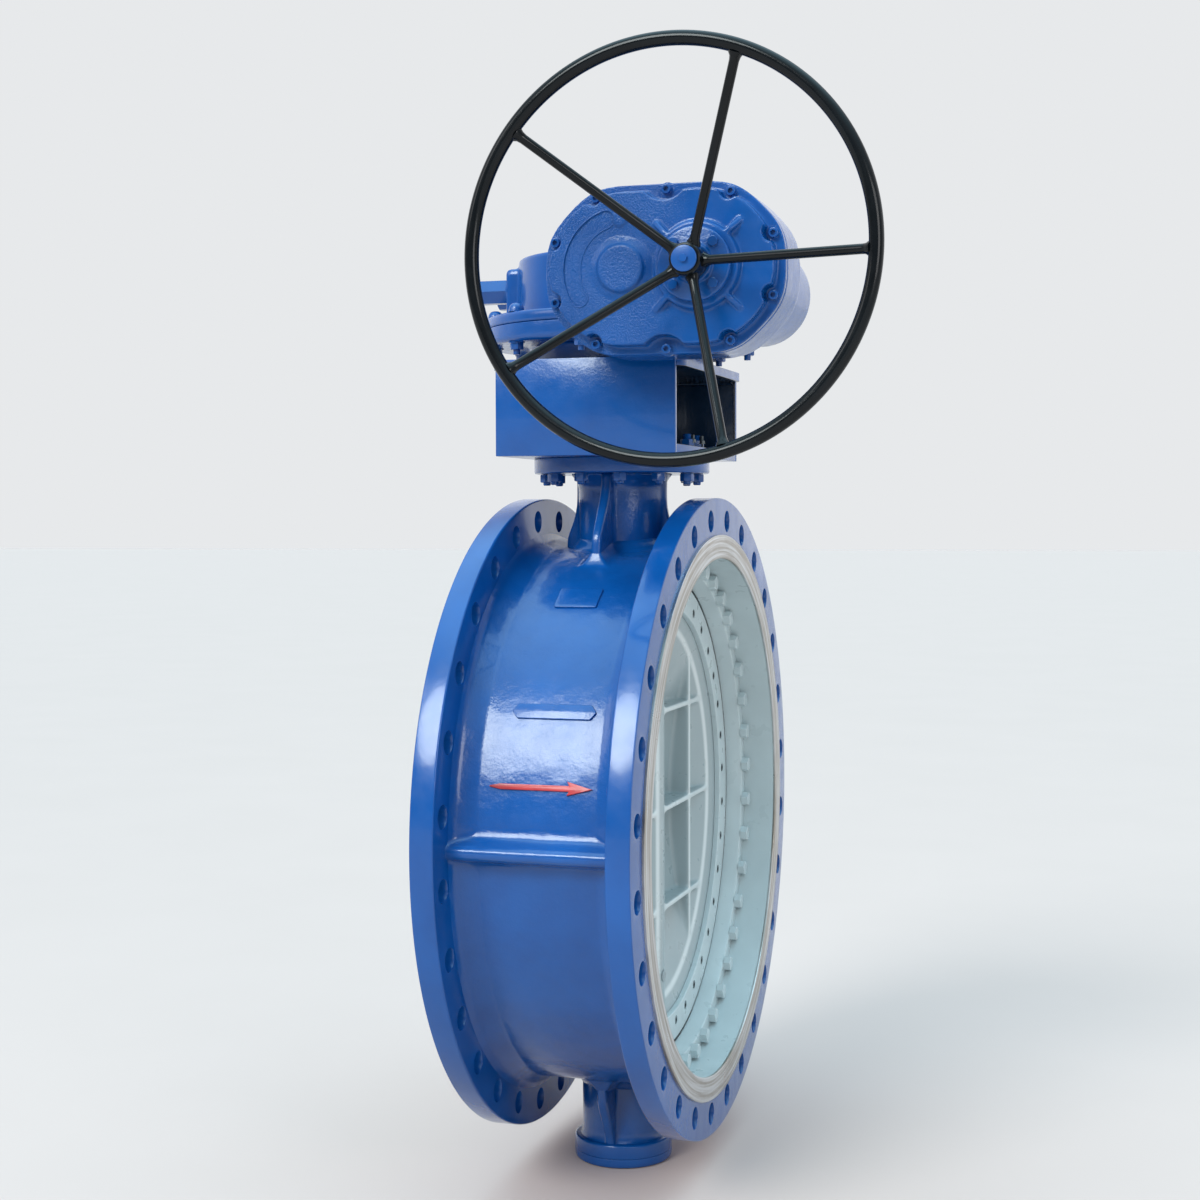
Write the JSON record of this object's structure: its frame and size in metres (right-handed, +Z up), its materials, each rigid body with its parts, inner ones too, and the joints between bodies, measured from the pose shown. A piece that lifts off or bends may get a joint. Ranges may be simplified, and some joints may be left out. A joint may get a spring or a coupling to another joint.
{
  "type": "butterfly valve",
  "caption": "Large double-flanged butterfly valve with eccentric disc, stem in a yoke, worm and spur gearbox and a spoked handwheel.",
  "frame": {"origin": "centre of the valve, where the pipe axis meets the stem axis", "axes": "+X along the pipe, downstream; -Y towards the handwheel; +Z up the stem"},
  "size_m": [0.9013, 1.267, 2.0832],
  "materials": {
    "blue_paint": "gloss paint over cast and welded steel",
    "pale_epoxy": "semi-gloss epoxy coating",
    "steel": "machined",
    "bronze": "machined bronze",
    "seal_rubber": "matte moulded rubber",
    "black_enamel": "gloss enamel"
  },
  "bodies": {
    "valve": {"valve_body": "blue_paint", "body_seat_ring": "steel", "seat_retaining_ring": "pale_epoxy", "upper_stem_bush": "bronze", "lower_stem_bush": "bronze", "thrust_bearing": "bronze", "bottom_cover": "blue_paint", "stem_packing": "seal_rubber", "gland_flange": "blue_paint", "gland_stud_1": "steel", "gland_stud_2": "steel", "yoke_bracket": "blue_paint", "mounting_stud_01": "blue_paint", "mounting_stud_02": "blue_paint", "mounting_stud_03": "blue_paint", "mounting_stud_04": "blue_paint", "mounting_stud_05": "blue_paint", "mounting_stud_06": "blue_paint", "mounting_stud_07": "blue_paint", "mounting_stud_08": "blue_paint", "mounting_stud_09": "blue_paint", "mounting_stud_10": "blue_paint", "mounting_stud_11": "blue_paint", "mounting_stud_12": "blue_paint", "gearbox_base": "blue_paint", "gearbox_housing": "blue_paint", "indicator_cover": "blue_paint", "worm_end_cover": "blue_paint", "stop_cap_closed": "blue_paint", "stop_cap_open": "blue_paint", "reducer_casing": "blue_paint", "reducer_cover": "blue_paint", "input_bearing_cap": "blue_paint", "worm_bearing_front": "steel", "worm_bearing_rear": "steel", "layshaft_bearing_front": "steel", "layshaft_bearing_rear": "steel", "input_bearing": "steel"},
    "disc_assembly": {"disc": "pale_epoxy", "disc_seal_ring": "seal_rubber", "disc_retaining_ring": "pale_epoxy", "lower_disc_pin": "steel", "upper_disc_pin": "steel", "stem": "steel", "wheel_key": "steel", "worm_quadrant": "bronze", "position_pointer": "steel"},
    "worm": {"worm_shaft": "steel", "output_gear": "steel"},
    "layshaft": {"layshaft": "steel"},
    "handwheel": {"input_shaft": "steel", "handwheel_hub": "black_enamel", "handwheel_rim": "black_enamel", "handwheel_spoke_1": "black_enamel", "handwheel_spoke_2": "black_enamel", "handwheel_spoke_3": "black_enamel", "handwheel_spoke_4": "black_enamel", "handwheel_spoke_5": "black_enamel", "handwheel_cap": "blue_paint"}
  },
  "joints": [
    {"name": "disc_turn", "type": "hinge", "parent": "valve", "child": "disc_assembly", "pos_m": [0, 0, 0], "axis": [0, 0, 1], "range_deg": [0, 90]},
    {"name": "worm_spin", "type": "hinge", "parent": "valve", "child": "worm", "pos_m": [0.267, 0, 1.0267], "axis": [0, 1, 0], "range_deg": [-5400, 0]},
    {"name": "layshaft_spin", "type": "hinge", "parent": "valve", "child": "layshaft", "pos_m": [0.128, 0, 1.0267], "axis": [0, 1, 0], "range_deg": [0, 10800]},
    {"name": "handwheel_spin", "type": "hinge", "parent": "valve", "child": "handwheel", "pos_m": [0.267, 0, 1.0267], "axis": [0, 1, 0], "range_deg": [-21600, 0]}
  ],
  "couplings": [
    {"joint": "worm_spin", "follows": "disc_turn", "ratio": -60},
    {"joint": "layshaft_spin", "follows": "disc_turn", "ratio": 120},
    {"joint": "handwheel_spin", "follows": "disc_turn", "ratio": -240}
  ]
}
